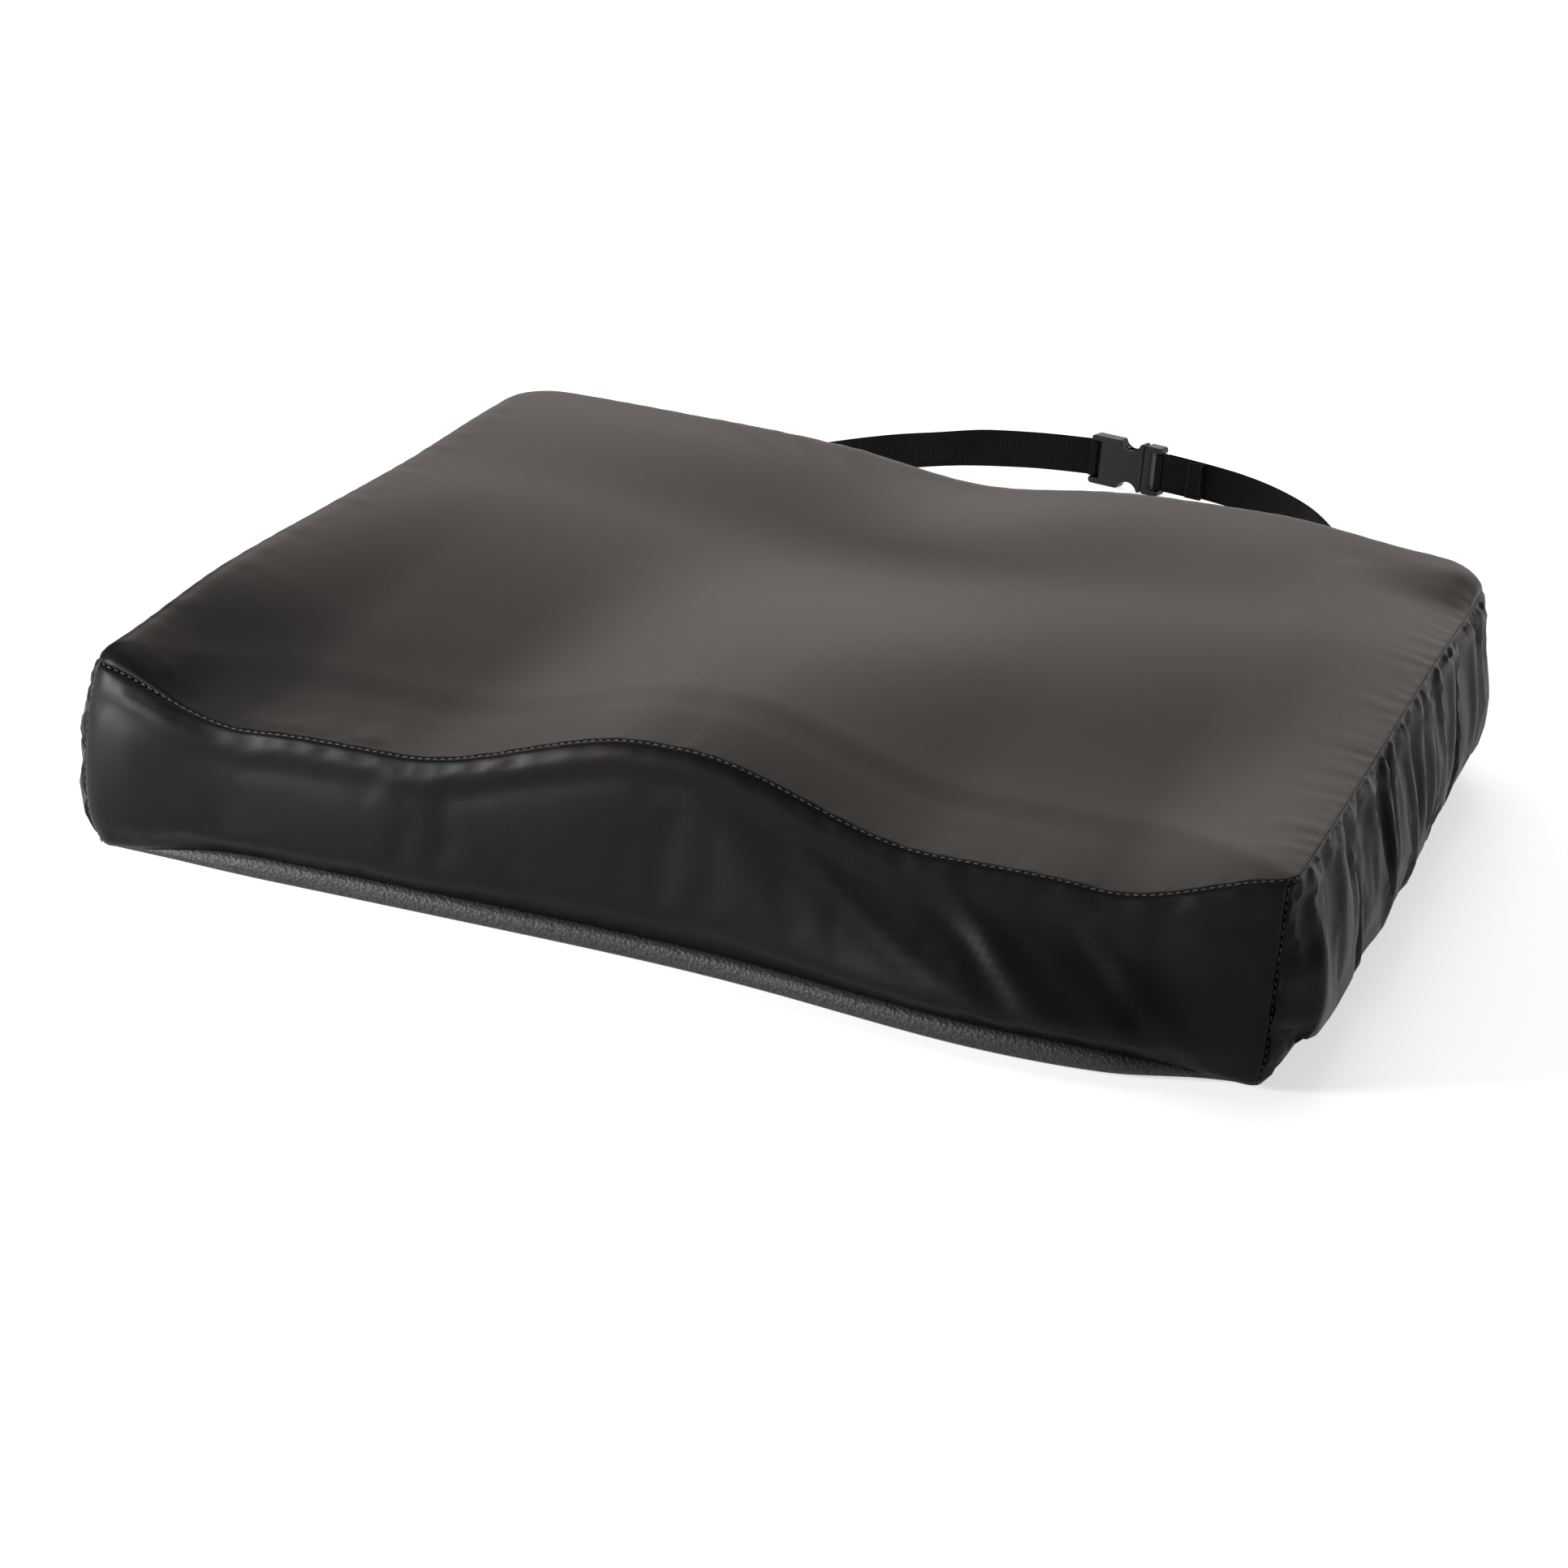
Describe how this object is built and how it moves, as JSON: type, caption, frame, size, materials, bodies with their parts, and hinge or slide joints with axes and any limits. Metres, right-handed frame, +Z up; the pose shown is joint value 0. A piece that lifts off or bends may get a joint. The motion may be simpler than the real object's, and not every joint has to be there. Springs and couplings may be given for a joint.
{
  "type": "contoured seat cushion",
  "caption": "Contoured foam seat cushion with pommel and thigh troughs, zip-off coated cover, non-slip base and a buckled webbing retaining strap.",
  "frame": {"origin": "middle of the flat underside", "axes": "+X to the sitter's right, +Y to the back of the cushion, +Z up"},
  "size_m": [0.457, 0.7903, 0.0971],
  "materials": {
    "cover": "satin coated stretch fabric",
    "base_fabric": "grained non-slip fabric",
    "firm_foam": "open-cell foam",
    "soft_foam": "slow-recovery foam",
    "webbing": "ribbed woven webbing",
    "buckle_plastic": "fine-textured moulding",
    "zip_tape": "twill tape",
    "zip_coil": "coil",
    "zip_metal": "black lacquer"
  },
  "bodies": {
    "cushion": {"cover_top": "cover", "cover_front": "cover", "cover_side_left": "cover", "cover_side_right": "cover", "cover_back_upper": "cover", "cover_back_lower": "cover", "strap_tab_left": "cover", "strap_tab_right": "cover", "base_panel": "base_fabric", "foam_base": "firm_foam", "foam_topper": "soft_foam", "strap_left": "webbing", "strap_right": "webbing", "strap_left_loop": "webbing", "buckle_female": "buckle_plastic", "zip_tape_upper": "zip_tape", "zip_tape_lower": "zip_tape", "zip_coil_upper": "zip_coil", "zip_coil_lower": "zip_coil", "zip_stops": "zip_metal"},
    "buckle_male_half": {"buckle_male": "buckle_plastic", "strap_right_loop": "webbing", "strap_tail": "webbing", "strap_tail_hem": "webbing"},
    "latch_upper": {"buckle_latch_upper": "buckle_plastic"},
    "latch_lower": {"buckle_latch_lower": "buckle_plastic"},
    "zip_slider_body": {"zip_slider": "zip_metal"},
    "zip_pull": {"zip_pull_tab": "zip_metal"}
  },
  "joints": [
    {"name": "buckle_release", "type": "slide", "parent": "cushion", "child": "buckle_male_half", "axis": [0.9744, -0.225, 0], "range_m": [0, 0.028], "deforming": ["strap_right"]},
    {"name": "latch_upper_squeeze", "type": "hinge", "parent": "buckle_male_half", "child": "latch_upper", "pos_m": [-0.01339, 0.5759, 0.0208], "axis": [-0.225, -0.9744, 0], "range_deg": [0, 8], "stiffness_Nm_per_rad": 0.4},
    {"name": "latch_lower_squeeze", "type": "hinge", "parent": "buckle_male_half", "child": "latch_lower", "pos_m": [-0.01339, 0.5759, 0.0062], "axis": [0.225, 0.9744, 0], "range_deg": [0, 8], "stiffness_Nm_per_rad": 0.4},
    {"name": "zip_travel", "type": "slide", "parent": "cushion", "child": "zip_slider_body", "axis": [-1, 0, 0], "range_m": [0, 0.359]},
    {"name": "zip_pull_swing", "type": "hinge", "parent": "zip_slider_body", "child": "zip_pull", "pos_m": [0.1799, 0.20635, 0.036], "axis": [0, 0, 1], "range_deg": [0, 165]}
  ]
}
